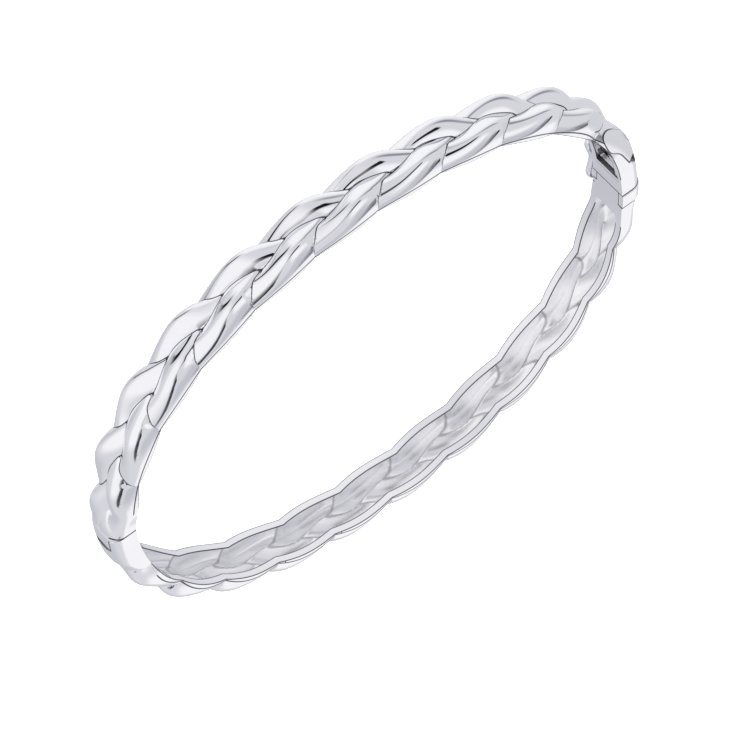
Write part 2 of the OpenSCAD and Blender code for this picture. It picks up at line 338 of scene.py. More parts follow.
whiteMetal = metalMaterial("polishedWhiteMetal", finish["metal"], finish["shade"],
                           polish=finish["polish"], patch=finish["patch"], hair=0.05)
# the hollow's metal: its satin roughness is real, and its lighter colour is painted light
satinMetal = metalMaterial("satinWhiteMetal", (0.97, 0.97, 0.985), (0.9, 0.9, 0.93),
                           polish=finish["satin"], patch=finish["patch"], hair=0.1)
# the cap facet's metal: rougher, and its greyer colour is painted shade
shadedFacetMetal = metalMaterial("shadedFacetMetal", (0.88, 0.88, 0.91), (0.8, 0.8, 0.84),
                           polish=0.12, patch=0.05, hair=0.1, paintedShadeShare=0.0)
seamShade = metalMaterial("seamShade", (0.20, 0.20, 0.22), (0.12, 0.12, 0.14),
                          polish=0.4, patch=0.2, hair=0.2)    # painted shade on the walls inside the seams and on the faces that cuts and ends leave
wireMetal = metalMaterial("drawnWire", finish["metal"], finish["shade"], polish=0.06, patch=0.05, hair=0.12)
pinMetal = metalMaterial("pinSteel", (0.72, 0.72, 0.75), (0.55, 0.55, 0.58),
                         polish=0.16, patch=0.08, hair=0.2)
print("materials made")


# The plait's relief: three strands swing from edge to edge, a third of a turn apart

plait = dict(
    bumps=12,            # bumps along one edge of a half
    firstNotch=1.04,     # run of the upper edge's first notch
    lag=0.52,            # a lower notch's place after the upper one, as a share of the pitch
    reach=2.61,          # half width of the band at a bump
    strandHalf=1.5,      # half width of a strand
    widen=0.22,          # share by which a strand is wider halfway across
    widenLate=-0.1,      # and where it leaves an edge
    flatten=0.04,        # how far the swing is flattened
    crest=2.0,           # mean height of a strand's crown
    weave=0.48,          # rise over a crossing and drop under one
    weaveTurn=13.5,      # degrees by which the rise runs ahead
    dip=0.07,            # the crown's smaller dip between crossings
    sideDrop=3.2,        # drop from a crown to a strand's inner edge
    sideTurn=0.34,       # how that drop changes along a strand
    outerGap=0.18,       # distance over which the drop turns into the side wall
    ridgeSide=0.24, ridgeTurn=-0.3,   # where the crown's highest line lies across it
    bumpWall=0.52,       # flat side wall under a bump
    notchWall=0.06,      # and at a notch
    valley=0.25,         # radius in the valleys between strands, on the hollow side
    plainHalf=2.2,       # half width of the plain ends
    plainWall=1.2,       # their flat side walls
    plainTop=2.75,       # their height
    plainPower=2.4,      # how square their section is
    rim=0.8,             # flat rim along the inner edges
    skin=0.8,            # metal over the hollow
    hollowReach=0.985, hollowPower=12,   # how the hollow's roof comes down to the rim
    under=0.6,           # how far the cut of the hollow starts below the inner face
    inset=0.02,          # the base's sides stand back by this from the strands' sides
    sink=0.12,           # how far a strand sinks where the relief fades out
    least=0.05,          # a strand's lowest height
    baseRows=620, baseColumns=36, hollowColumns=44, strandRows=760, strandColumns=26,
)
pitch = halfRun / plait["bumps"]
skew = radians(120 * (plait["lag"] - 0.5))
third = 2 * np.pi / 3
swing = plait["reach"] - plait["strandHalf"]


def ramp(x, a, b):
    # smooth step from 0 at a to 1 at b
    k = np.clip((x - a) / (b - a), 0, 1)
    return k * k * (3 - 2 * k)


def softMax(a, b, r):
    # the larger of two heights, with the valley between them filled to a small radius r
    h = np.clip(r - np.abs(a - b), 0, None) / r
    return np.maximum(a, b) + h * h * r / 4


def strand(s, i):
    # turn, middle and half width of a strand: middle = swing (sin b - k sin 3b) / (1 + k)
    turn = np.pi / 6 - skew / 2 + third * (s - plait["firstNotch"]) / pitch + third * i
    b = turn + skew * np.sin(turn)
    k = plait["flatten"]
    middle = swing * (np.sin(b) - k * np.sin(3 * b)) / (1 + k)
    wider = plait["widen"] * np.cos(b) ** 2
    half = plait["strandHalf"] * (1 + wider + plait["widenLate"] * np.sin(2 * b) / 2)
    return turn, middle, half


def edges(s):
    # half widths of the band at its upper and its lower edge
    strands = [strand(s, i) for i in range(3)]
    return (np.max([m + w for _, m, w in strands], 0), -np.min([m - w for _, m, w in strands], 0))


def wallAt(edge):
    # height of the flat side wall, which grows evenly from a notch to a bump
    notch = plait["strandHalf"] + swing / 2
    return np.maximum(plait["notchWall"], plait["bumpWall"] * (edge - notch) / (swing / 2))


def footAt(s, z):
    # height of the base between the strands: a straight line from one side wall to the other
    up, low = edges(s)
    return wallAt(low) + (wallAt(up) - wallAt(low)) * (z + low) / (up + low)


def strandHeight(s, i, q):
    # height of a strand at q half widths from its middle: half an ellipse to each side of its
    # highest line, which falls to the side wall at the band's edge and deeper inside the band
    turn, middle, half = strand(s, i)
    up, low = edges(s)
    ridge = plait["ridgeSide"] * np.sin(turn) + plait["ridgeTurn"] * np.cos(turn)
    across = np.where(q > ridge, (q - ridge) / (1 - ridge), (q - ridge) / (1 + ridge))
    gap = np.where(q > ridge, up - middle - half, low + middle - half) / plait["outerGap"]
    outer = ramp(1 - gap, 0, 1)
    top = (plait["crest"] - plait["weave"] * np.sin(2 * turn + radians(plait["weaveTurn"]))
           - plait["dip"] * np.cos(4 * turn))
    drop = plait["sideDrop"] + plait["sideTurn"] * np.cos(turn) * np.where(q > ridge, 1, -1)
    drop = drop + (top - footAt(s, middle + half * q) - drop) * outer
    return top - drop * (1 - np.sqrt(1 - np.minimum(across * across, 1)))


def plaitHeight(s, z):
    # the strands' outer surface with wide valleys, as the hollow follows it from inside
    height = footAt(s, z)
    for i in range(3):
        _, middle, half = strand(s, i)
        q = np.clip((z - middle) / half, -1, 1)
        height = softMax(height, strandHeight(s, i, q), plait["valley"])
    return height


def plainHeight(z):
    # the plain ends' surface: wall + (top - wall) (1 - |z / half| ^ p) ^ (1 / p)
    q = np.clip(np.abs(z / plait["plainHalf"]), 0, 1)
    p = plait["plainPower"]
    return plait["plainWall"] + (plait["plainTop"] - plait["plainWall"]) * (1 - q ** p) ** (1 / p)


def window(s, w):
    # 1 between the runs w[1] and w[2], and 0 before w[0] and past w[3]
    return ramp(s, w[0], w[1]) * (1 - ramp(s, w[2], w[3]))


def bandEdges(s, k, inset=0.0):
    # middle and half width of the band, which narrows to its plain ends
    up, low = edges(s)
    up = plait["plainHalf"] * (1 - k) + (up - inset) * k
    low = plait["plainHalf"] * (1 - k) + (low - inset) * k
    return (up - low) / 2, (up + low) / 2


def tubeOn(name, s, r, z, turned, material):
    # a closed solid on rings of points given by run, height and place across the band; a
    # polished one gets painted shade on its ends
    rings = onBand(s, r, z)
    hubs = np.stack([rings[0].mean(0), rings[-1].mean(0)])
    points = np.concatenate([rings.reshape(-1, 3), hubs])
    if turned:
        points = points * [-1, -1, 1]
    piece = addObject(name, makeDense(name, points, tube(rings)), material)
    if material == whiteMetal:
        piece.data.materials.append(seamShade)
        which = np.zeros(len(piece.data.polygons), np.int32)
        which[-2 * rings.shape[1]:] = 1
        piece.data.polygons.foreach_set("material_index", which)
    return piece


def castBase(name, ends, relief, turned):
    # the band without its strands: low between the notches, plain at both ends
    s = np.linspace(*ends, plait["baseRows"])[:, None]
    k = window(s, relief)
    middle, half = bandEdges(s, k, plait["inset"])
    c = -np.cos(np.linspace(0, np.pi, plait["baseColumns"]))[None, :]
    up, low = edges(s)
    foot = footAt(s, (up - low) / 2 + (up + low) / 2 * c)
    overR = plainHeight(plait["plainHalf"] * c) * (1 - k) + foot * k
    w = np.linspace(0, 1, 4)[None, :-1]
    r = np.concatenate([w * overR[:, :1], overR, overR[:, -1:] * w[:, ::-1]], 1)
    z = middle + half * np.concatenate([-1 + 0 * w, c, 1 + 0 * w], 1)
    return tubeOn(name, s, r, z, turned, whiteMetal)


def castStrand(name, i, relief, turned):
    # one strand over the relief's length; it sinks into the band where the relief fades
    s = np.linspace(relief[0], relief[3], plait["strandRows"])[:, None]
    k = window(s, relief)
    _, own, ownHalf = strand(s, i)
    q = -np.cos(np.linspace(0, np.pi, plait["strandColumns"]))[None, :]
    up, low = edges(s)
    c = (own + ownHalf * q - (up - low) / 2) / ((up + low) / 2)
    middle, half = bandEdges(s, k)
    r = np.maximum(strandHeight(s, i, q), plait["least"])
    r = (plainHeight(plait["plainHalf"] * c) - plait["sink"]) * (1 - k) + r * k
    z = middle + half * c
    floor = np.zeros_like(s)
    r = np.concatenate([floor, r, floor], 1)
    z = np.concatenate([z[:, :1], z, z[:, -1:]], 1)
    return tubeOn(name, s, r, z, turned, whiteMetal)


def castHollow(name, ends, relief, hollow, turned):
    # what is cut out behind: its roof runs a skin below the strands, times 1 - f ^ power at the
    # share f of the way from the middle to the flat rim
    s = np.linspace(*ends, plait["baseRows"])[:, None]
    k, h = window(s, relief), window(s, hollow)
    middle, half = bandEdges(s, k)
    f = np.cos(np.linspace(np.pi, 0, plait["hollowColumns"]))[None, :]
    wide = (half - plait["rim"]) * f
    up, low = edges(s)
    c = wide / half
    woven = plaitHeight(s, (up - low) / 2 + (up + low) / 2 * c)
    deep = plainHeight(plait["plainHalf"] * c) * (1 - k) + woven * k - plait["skin"]
    deep = deep * (1 - (plait["hollowReach"] * f) ** plait["hollowPower"])
    deep = h * (deep + plait["under"]) - plait["under"]
    floor = np.full_like(s, -2 * plait["under"])
    r = np.concatenate([floor, deep, floor], 1)
    z = middle + np.concatenate([wide[:, :1], wide, wide[:, -1:]], 1)
    return tubeOn(name, s, r, z, turned, satinMetal)


def unroll(points):
    # run, height and place across the band of points in the front half's frame, by Newton steps;
    # d and e are the first and the second derivative of the oval
    x, y, z = points.T
    f, a, b = oval["fullness"], longHalf, shortHalf
    t = np.arctan2(-y / b, x / a)
    t = np.where(t < -np.pi / 2, t + 2 * np.pi, t)
    for _ in range(8):
        p = ovalAt(t)
        d = np.stack([-(a + f) * np.sin(t) + 3 * f * np.sin(3 * t),
                      -(b + f) * np.cos(t) - 3 * f * np.cos(3 * t)], -1)
        e = np.stack([-(a + f) * np.cos(t) + 9 * f * np.cos(3 * t),
                      (b + f) * np.sin(t) + 9 * f * np.sin(3 * t)], -1)
        away = np.stack([x, y], -1) - p
        t = t - (away * d).sum(-1) / ((away * e).sum(-1) - (d * d).sum(-1))
    d /= np.linalg.norm(d, axis=-1, keepdims=True)
    return np.interp(t, ovalTurn, ovalRun), away[:, 1] * d[:, 0] - away[:, 0] * d[:, 1], z


def markLines(piece, relief, hollow, turned, edgeLine):
    # what the material draws its painted shade lines from: 1 on a crease or an edge, less by 2 for each
    # mm away from it
    mesh = piece.data
    co = np.empty(len(mesh.vertices) * 3, np.float32)
    mesh.vertices.foreach_get("co", co)
    points = co.reshape(-1, 3).astype(float) / mm
    s, r, z = unroll(points * [-1, -1, 1] if turned else points)
    k, h = window(s, relief), window(s, hollow)
    up, low = edges(s)
    middle, half = bandEdges(s, k)
    c = np.clip((z - middle) / half, -1, 1)
    native = (up - low) / 2 + (up + low) / 2 * c
    heights = []
    for i in range(3):
        _, own, ownHalf = strand(s, i)
        q = (native - own) / ownHalf
        heights.append(np.where(np.abs(q) < 1, strandHeight(s, i, np.clip(q, -1, 1)), -1))
    heights = np.sort(heights, 0)
    woven = np.maximum(heights[-1], footAt(s, native))
    outside = plainHeight(plait["plainHalf"] * c) * (1 - k) + woven * k
    inner = outside - finish["lineDepth"]
    between = heights[-1] - heights[-2] + 2 * (1 - k)
    fromSide = half - np.abs(z - middle)
    fromHollow = np.maximum(plait["rim"] - fromSide, 0)
    height = np.maximum(r, 0)
    wall = wallAt(np.where(z > middle, up, low))
    distances = dict(
        crease=between + 2 * (r < inner),
        rimEdge=fromSide + height + 2 * (1 - h),
        hollowEdge=fromHollow + height + 5 * (1 - h),
        wallEdge=np.hypot(fromSide, r - wall) + 2 * (1 - k),
        fold=between + 2 * (r > inner),
        seamEdge=edgeLine(points, s, r),
    )
    for name, value in distances.items():
        mark = mesh.attributes.new(name, "FLOAT", "POINT")
        mark.data.foreach_set("value", (1 - 2 * value).astype(np.float32))


def cast(name, ends, relief, hollow, turned=False):
    # one half before its hinge and clasp are cut
    piece = castBase(name, ends, relief, turned)
    strands = [castStrand(f"strand{i}", i, relief, turned) for i in range(3)]
    combine(piece, strands, operation="UNION")
    combine(piece, [castHollow("hollow", ends, relief, hollow, turned)])
    return piece


# Both halves, cut at the hinge and at the clasp

hinge = dict(
    knuckle=1.4,         # outer radius of the knuckles
    bore=0.48,           # bore for the pin
    gap=0.08,            # gap at the hinge's seams
    tabReach=1.5,        # reach of the knuckles' inner corners past the pin
    low=-1.6, high=1.2,  # ends of the middle knuckle
    ownSide=12, otherSide=40,   # slopes of the tabs' side walls, in degrees
    boreTop=1.88,        # blind end of the bore
    past=2.3,            # run of each casting past the hinge's middle
    seamLine=0.03,       # how far the dark line starts from the middle of the seam
)
clasp = dict(
    seam=0.4, gap=0.14,  # the seam past the long axis
    collar=1.8, collarShort=1.15, proud=0.12,   # collar: length above and below, and its step
    coreTop=1.2, coreHalf=1.6,                  # plate under the collar
    boxHalf=1.45, boxFloor=0.75, boxRoof=2.05, boxDepth=2.5, mouth=1.2,   # box for the tongue
    slitRoof=1.9, slitHalf=1.4,                 # the box's open back
    tongueHalf=1.27, leaf=0.25, foldAt=-1.75, foldHeight=1.3, fold=0.32,  # tongue and its fold
    recess=[(2.1, -3.2), (8.0, -3.2), (8.0, -5.0), (1.0, -4.6)], recessFloor=1.25,
    slit=(0.32, -2.7, -2.1), step=(0.05, -1.62, -1.56),   # grooves: depth and ends along y
    grooveTop=1.75, seamLine=0.08,
)
far = 8.0     # room past the section in every cut
over = 0.05   # overlap of one cut with the next
noLine = 5    # a distance at which no line is drawn
claspX = -longHalf
claspRun = halfRun + clasp["seam"]
collarStart = clasp["seam"] + clasp["gap"] / 2
collarEnd = collarStart + clasp["collar"]
shortEnd = collarStart + clasp["collarShort"]
collarInner = clasp["coreHalf"] + hinge["gap"]


def mirrored(outline):
    # the same outline on the other side of the long axis
    return [(x, -y) for x, y in outline][::-1]


def knuckleEnd():
    # plan of what is cut off a knuckle that reaches to -Y
    r, side = hinge["knuckle"], radians(hinge["ownSide"])
    arc = disc(pinX, 0, r, 72, -90, 90 + hinge["ownSide"])
    return [(pinX - far, -far), (pinX + far, -far), (pinX + far, far * tan(side))] + arc[::-1] + [
        (pinX, -hinge["tabReach"]), (pinX - far, -hinge["tabReach"])]


def knuckleRoom():
    # plans of what is cut out of the other half so that this knuckle can turn
    reach, side = hinge["tabReach"] + hinge["gap"], radians(hinge["otherSide"])
    block = [(pinX - far, -reach), (pinX, -reach), (pinX, 0), (pinX + far, -far * tan(side)),
             (pinX + far, far), (pinX - far, far)]
    return [disc(pinX, 0, hinge["knuckle"] + hinge["gap"], 144), block]


def claspBlock(name, r0, r1, y0, y1, z0, z1):
    # a block at the clasp, between two heights above the inner face
    return prism(name, [(claspX - r1, y0), (claspX - r0, y0), (claspX - r0, y1), (claspX - r1, y1)], z0, z1)


cap = dict(run=-9.4, r=1.68, z=1.68, tilt=58,   # a point of the flat facet on the cap's shoulder
           first=-14, last=-4, lowest=0.3)      # where its outline is looked for
capPlace = onBand(halfRun + cap["run"], cap["r"], cap["z"])
capOut = onBand(halfRun + cap["run"], cap["r"] + 1, cap["z"]) - capPlace
capNormal = capOut * cos(radians(cap["tilt"])) + np.array([0, 0, sin(radians(cap["tilt"]))])


def capFacet():
    # a block whose lower face lies on the facet's plane
    block = prism("capFacet", [(-far, -far), (far, -far), (far, far), (-far, far)], 0, far, shadedFacetMetal)
    stand = Vector(capNormal).to_track_quat("Z", "Y").to_matrix().to_4x4()
    block.data.transform(Matrix.Translation(Vector(capPlace) * mm) @ stand)
    return block


def hingeLine(points):
    # distance to the hinge's seam over the upper knuckle, along which a line of painted shade runs
    seam = hinge["tabReach"] + hinge["gap"] / 2
    near = (points[:, 0] > 0) & (points[:, 2] > hinge["high"])
    return np.where(near, np.abs(points[:, 1] + seam) - hinge["seamLine"], noLine)


def capLine(points, s, r):
    # distance to the facet's outline, which gets a line of painted shade, by how far the surface lies under
    # its plane
    under = -(points - capPlace) @ capNormal
    near = (s > halfRun + cap["first"]) & (s < halfRun + cap["last"]) & (points[:, 2] > cap["lowest"])
    return np.minimum(np.where(near, np.abs(under), noLine), hingeLine(points))


def collarLine(points, s, r):
    # distance to the seam behind the thumb piece's collar, along which a line of painted shade runs
    away = np.abs(points[:, 1] - collarEnd - clasp["gap"])
    near = (points[:, 0] < 0) & ((np.abs(points[:, 2]) > clasp["coreHalf"]) | (r > clasp["coreTop"]))
    return np.minimum(np.where(near, away - clasp["seamLine"], noLine), hingeLine(points))


front = dict(   # runs over which the plait and the hollow fade in and out
    ends=(-hinge["past"], claspRun - clasp["gap"] / 2),
    relief=[0.8, 5.2, halfRun - 9.5, halfRun - 5.8],
    hollow=[4.2, 5.6, halfRun - 2.4, halfRun - 2.2],
)
low, high, gap = hinge["low"], hinge["high"], hinge["gap"]
frontHalf = cast("frontCasting", front["ends"], front["relief"], front["hollow"])
cutters = [prism("roomHigh", outline, high, far) for outline in knuckleRoom()]
cutters += [prism("roomLow", outline, -far, low) for outline in knuckleRoom()]
cutters += [
    prism("tabEnd", mirrored(knuckleEnd()), low - over, high + over, whiteMetal),
    prism("bore", disc(pinX, 0, hinge["bore"], 64), low - 2 * over, high + 2 * over),
    claspBlock("box", clasp["boxFloor"], clasp["boxRoof"], -clasp["boxDepth"] - clasp["mouth"],
               clasp["seam"] + 2 * over, -clasp["boxHalf"], clasp["boxHalf"]),
    claspBlock("boxBack", -far, clasp["slitRoof"], -clasp["boxDepth"] - clasp["mouth"],
               -clasp["boxDepth"], -clasp["slitHalf"], clasp["slitHalf"]),
    prism("recess", [(claspX - r, y) for r, y in clasp["recess"]], clasp["recessFloor"], far),
    capFacet(),
    claspBlock("slit", -far, *clasp["slit"], -clasp["boxHalf"], clasp["grooveTop"]),
    claspBlock("step", -far, *clasp["step"], -clasp["coreHalf"], clasp["grooveTop"]),
]
# faces left by cutters without their own finish take the seam colour: painted shade
combine(frontHalf, cutters, seamShade)
markLines(frontHalf, front["relief"], front["hollow"], False, capLine)
print("front half", len(frontHalf.data.polygons))

back = dict(
    ends=(collarStart, halfRun + hinge["past"]),
    relief=[2, 8, halfRun - 8, halfRun - 3],
    hollow=[3.6, 5.2, halfRun - 5.8, halfRun - 4.4],
)
plateEnd, shortPlateEnd = collarEnd + clasp["gap"], shortEnd + clasp["gap"]
backHalf = cast("backCasting", back["ends"], back["relief"], back["hollow"], True)
cutters = [prism("room", mirrored(outline), low - gap, high + gap) for outline in knuckleRoom()]
cutters += [
    prism("tabHigh", knuckleEnd(), high + gap - over, far, whiteMetal),
    prism("tabLow", knuckleEnd(), -far, low - gap + over, whiteMetal),
    prism("bore", disc(pinX, 0, hinge["bore"], 64), -far, hinge["boreTop"]),
    claspBlock("underCollar", clasp["coreTop"], far, -far, plateEnd, -collarInner, far),
    claspBlock("upperSide", -far, far, -far, plateEnd, clasp["coreHalf"], far),
    claspBlock("lowerSide", -far, far, -far, shortPlateEnd, -far, -clasp["coreHalf"]),
]
# faces left by cutters without their own finish take the seam colour: painted shade
combine(backHalf, cutters, seamShade)
markLines(backHalf, back["relief"], back["hollow"], True, collarLine)
print("back half", len(backHalf.data.polygons))
print("halves cast and cut")


# Tongue and thumb piece at the clasp

tongue = dict(
    tip=0.07,            # room inside the fold
    thumbLow=1.75,       # underside of the thumb piece's bridge
    leafLow=1.68,        # underside of the tongue's upper leaf
    leafRoot=0.25,       # how far that leaf starts inside the collar
    lead=0.1, leadRun=0.16, leadRise=0.12,   # slopes at its tip, below and above
    foot=0.09,           # rounding of the collar's rims
    bend=0.3,            # inner corners of the collar
    edge=0.05,           # rounding of the other edges
)


def bevelled(piece, width, degrees=35):
    # round every edge sharper than the angle and keep the result
    step = piece.modifiers.new("rounded", "BEVEL")
    step.width = width * mm
    step.segments = 2
    step.limit_method = "ANGLE"
    step.angle_limit = radians(degrees)
    step.harden_normals = False
    settle(piece)


def acrossBand(name, outline, low, high):
    # a prism along z on an outline of (y, height above the inner face) at the clasp
    return prism(name, [(claspX - r, y) for y, r in outline], low, high, whiteMetal)


foldY, foldR = clasp["foldAt"], clasp["fold"]
arc = np.radians(np.linspace(-90, 90, 19))
outer = [(foldY - foldR * cos(a), clasp["foldHeight"] + foldR * sin(a)) for a in arc]
inner = [(foldY - tongue["tip"] * cos(a), clasp["foldHeight"] + tongue["tip"] * sin(a)) for a in arc[::-1]]
leafBottom = clasp["foldHeight"] - foldR
leafEnd = collarStart + clasp["leaf"]
lowerLeaf = acrossBand("tongueFold", [(leafEnd, leafBottom)] + outer + inner + [(leafEnd, clasp["coreTop"])],
                       -clasp["tongueHalf"], clasp["tongueHalf"])
bevelled(lowerLeaf, tongue["edge"])

bridgeTop = tongue["thumbLow"] + clasp["leaf"]
tip, root, leafLow = foldY - clasp["leaf"], collarEnd - tongue["leafRoot"], tongue["leafLow"]
leafOutline = [(root, leafLow), (tip + tongue["lead"], leafLow), (tip, leafLow + tongue["lead"]),
               (tip, bridgeTop - tongue["leadRise"]), (tip + tongue["leadRun"], bridgeTop),
               (root, bridgeTop)]
upperLeaf = acrossBand("tongueLeaf", leafOutline, -clasp["tongueHalf"], clasp["tongueHalf"])
bevelled(upperLeaf, tongue["edge"])


def collarRings():
    # the collar's section at flat places along y, drawn in at both ends to round its rims:
    # the run s that lands on a flat place is found from the oval by a few corrections
    steps = np.array([0, 0.25, 0.6, 1.0])
    inset = tongue["foot"] * (1 - np.sqrt(1 - (1 - steps) ** 2))
    between = np.linspace(collarStart + 0.2, collarEnd - 0.2, 9)
    places = np.concatenate([collarStart + tongue["foot"] * steps, between,
                             collarEnd - tongue["foot"] * steps[::-1]])
    insets = np.concatenate([inset, 0 * between, inset[::-1]])[:, None]
    half = plait["plainHalf"] + clasp["proud"] - insets
    u = np.linspace(0, np.pi, 56)[None, :]
    domeR = plainHeight(-plait["plainHalf"] * np.cos(u)) + clasp["proud"] - insets
    domeZ = -half * np.cos(u)
    wall = np.linspace(0, 1, 8)[None, :-1]
    inside = collarInner + insets
    roof = tongue["thumbLow"] + insets
    corner = np.radians(np.linspace(0, 90, 6))[None, :]
    bend = tongue["bend"]
    r = np.concatenate([wall * domeR[:, :1], domeR, domeR[:, -1:] * wall[:, ::-1], 0 * insets,
                        roof - bend + bend * np.sin(corner),
                        roof - bend + bend * np.sin(corner[:, ::-1]), 0 * insets], 1)
    z = np.concatenate([-half + 0 * wall, domeZ, half + 0 * wall, inside,
                        inside - bend + bend * np.cos(corner),
                        -inside + bend - bend * np.cos(corner[:, ::-1]), -inside], 1)
    y = places[:, None]
    s = y + 0 * r
    for _ in range(6):
        s = s + y + onBand(s, r, z)[..., 1]
    return onBand(s, r, z) * [-1, -1, 1]


rings = collarRings()
count, ring = rings.shape[:2]
collarMesh = makeMesh("thumbCollar", rings.reshape(-1, 3), quads(count, ring) + lids(ring, count))
collar = addObject("thumbCollar", collarMesh, whiteMetal)
# the collar's two end faces take the seam colour: painted shade
collar.data.materials.append(seamShade)
for face in list(collar.data.polygons)[-2:]:
    face.material_index = 1
combine(collar, [claspBlock("shortSide", -far, far, shortEnd, far, -far, -clasp["coreHalf"])])
bevelled(collar, tongue["edge"], 60)
print("thumb piece made")

# Safety catch, its lug and its bead

catch = dict(
    lobe=1.6, wire=0.6, thick=0.7, middle=-2.85,   # lobe radius, wire width, thickness, height
    pivotY=-4.1, farY=1.75, waist=1.05, height=1.25,
    lug=0.62, lugHalf=0.5, bore=0.33, root=-1.8,   # lug: radius, half width, bore, foot
    foot=0.1, footTop=-2.1, lugEdge=0.06,          # its wider foot and rounded edges
    beadY=2.12, bead=0.42, stem=0.3,               # bead: place, radius, radius of its stem
    neck=0.36, collar=0.03,                        # start of the stem, and its rim on the band
    loopFrom=-28, loopTo=208,                      # turn of each lobe, in degrees
    straighten=0.35,                               # how far from the pivot the wire runs straight
    smooth=22.0,                                   # waves kept in the wire's curve
)
catchX = claspX - catch["height"]
nearY = catch["pivotY"] + catch["lobe"] - catch["wire"] / 2
loopR = catch["lobe"] - catch["wire"] / 2


def spline(points, count):
    # closed smooth curve near the points: the Fourier series of their polygon, with each wave n
    # times exp(-(n / smooth) ^ 2)
    points = np.asarray(points, float)
    closed = np.concatenate([points, points[:1]])
    run = np.concatenate([[0], np.cumsum(np.linalg.norm(np.diff(closed, axis=0), axis=1))])
    at = np.linspace(0, run[-1], count, endpoint=False)
    even = np.stack([np.interp(at, run, closed[:, k]) for k in range(closed.shape[1])], 1)
    terms = np.fft.fft(even, axis=0)
    order = np.abs(np.fft.fftfreq(count) * count)[:, None]
    return np.real(np.fft.ifft(terms * np.exp(-(order / catch["smooth"]) ** 2), axis=0))


def wireLoop(name, path, half, flat, sides=16):
    # closed tube along a flat path: half width in the plane, flat half width across it; its
    # section is half cos(a)^0.8 by flat sin(a)^0.8, signs kept
    ahead = np.roll(path, -1, 0) - np.roll(path, 1, 0)
    ahead /= np.linalg.norm(ahead, axis=1, keepdims=True)
    out = np.stack([ahead[:, 1], -ahead[:, 0]], 1)
    a = np.linspace(0, 2 * np.pi, sides, endpoint=False)[None, :]
    c, n = (np.sign(v) * np.abs(v) ** 0.8 for v in (np.cos(a), np.sin(a)))
    xy = path[:, None, :] + out[:, None, :] * (half * c)[..., None]
    z = np.broadcast_to(catch["middle"] + flat[:, None] * n, xy.shape[:2])
    points = np.concatenate([xy, z[..., None]], -1)
    faces = [(a, d, c, b) for a, b, c, d in quads(len(path), sides, openRows=False)]
    return addObject(name, makeMesh(name, points.reshape(-1, 3), faces), wireMetal)


def halfLoop(centre, sign):
    # one lobe's middle line from the waist round to the waist, as points in plan
    a = np.radians(np.linspace(catch["loopFrom"], catch["loopTo"], 25))
    return [(catchX + loopR * cos(t), centre + sign * loopR * sin(t)) for t in a]


waistY = (nearY + catch["farY"]) / 2
waistX = catch["waist"] - catch["wire"] / 2
outline = (halfLoop(catch["farY"], 1) + [(catchX - waistX, waistY)]
           + halfLoop(nearY, -1)[::-1] + [(catchX + waistX, waistY)])
path = spline(outline, 192)
reach = catch["straighten"]
atPivot = (ramp(-path[:, 1], -catch["pivotY"] - reach, -catch["pivotY"] - 0.12)
           * ramp(catch["lugHalf"] + reach - np.abs(path[:, 0] - catchX), 0, 0.25))
path[:, 1] += (catch["pivotY"] - path[:, 1]) * atPivot
flat = catch["thick"] / 2 + (catch["wire"] / 2 - catch["thick"] / 2) * atPivot
wire = wireLoop("catchWire", path, catch["wire"] / 2, flat)


def bar(name, start, end, radius, sides=20):
    # round bar between two points
    start, end = np.asarray(start, float), np.asarray(end, float)
    ahead = (end - start) / np.linalg.norm(end - start)
    side = np.cross(ahead, [0, 0, 1.0]) if abs(ahead[2]) < 0.9 else np.cross(ahead, [1.0, 0, 0])
    side /= np.linalg.norm(side)
    over = np.cross(ahead, side)
    a = np.linspace(0, 2 * np.pi, sides, endpoint=False)
    ring = radius * (np.cos(a)[:, None] * side + np.sin(a)[:, None] * over)
    points = np.concatenate([start + ring, end + ring])
    return addObject(name, makeMesh(name, points, quads(2, sides) + lids(sides)), wireMetal)


crossBar = bar("catchBar", (catchX - waistX, waistY, catch["middle"]),
               (catchX + waistX, waistY, catch["middle"]), catch["wire"] / 2)


def turnedPiece(name, centre, profile, sides=48):
    # a profile of (radius, height) turned round an upright axis, closed at both ends
    profile = np.asarray(profile, float)
    a = np.linspace(0, 2 * np.pi, sides, endpoint=False)[None, :]
    r, h = profile[:, :1], profile[:, 1:]
    points = np.stack([centre[0] + r * np.cos(a), centre[1] + r * np.sin(a), h + 0 * a], -1)
    hubs = [[centre[0], centre[1], profile[0, 1]], [centre[0], centre[1], profile[-1, 1]]]
    mesh = makeDense(name, np.concatenate([points.reshape(-1, 3), hubs]), tube(points))
    return addObject(name, mesh, whiteMetal)


ball = np.radians(np.linspace(-88, 42, 22))
beadProfile = [(catch["bead"] * cos(t), catch["middle"] + catch["bead"] * sin(t)) for t in ball]
side, stem, rim = -plait["plainHalf"], catch["stem"], catch["stem"] + catch["collar"]
beadProfile += [(stem, catch["middle"] + catch["neck"]), (stem, side - 0.06), (rim, side - 0.015),
                (rim, catch["root"])]
bead = turnedPiece("catchBead", (catchX, catch["beadY"]), beadProfile)

lugTurn = np.radians(np.linspace(180, 360, 25))
pivotY, pivotZ = catch["pivotY"], catch["middle"]
lugPlan = [(pivotY + catch["lug"] * cos(t), pivotZ + catch["lug"] * sin(t)) for t in lugTurn]
footA, footB = pivotY + catch["lug"] + catch["foot"], pivotY - catch["lug"] - catch["foot"]
lugPlan += [(footA, catch["footTop"]), (footA, catch["root"]), (footB, catch["root"]),
            (footB, catch["footTop"])]
lugPoints = [(x, y, z) for x in (catchX - catch["lugHalf"], catchX + catch["lugHalf"]) for y, z in lugPlan]
lugFaces = quads(2, len(lugPlan)) + lids(len(lugPlan))
lug = addObject("catchLug", makeMesh("catchLug", lugPoints, lugFaces), whiteMetal)
combine(lug, [bar("lugBore", (catchX - 1, pivotY, pivotZ), (catchX + 1, pivotY, pivotZ), catch["bore"], 48)])
bevelled(lug, catch["lugEdge"])
print("safety catch made")

# What each piece rides on and replaces

for piece in (frontHalf, backHalf):
    sharpen(piece, 55)
for piece in (lowerLeaf, upperLeaf, collar, wire, crossBar, bead, lug):
    sharpen(piece, 35)

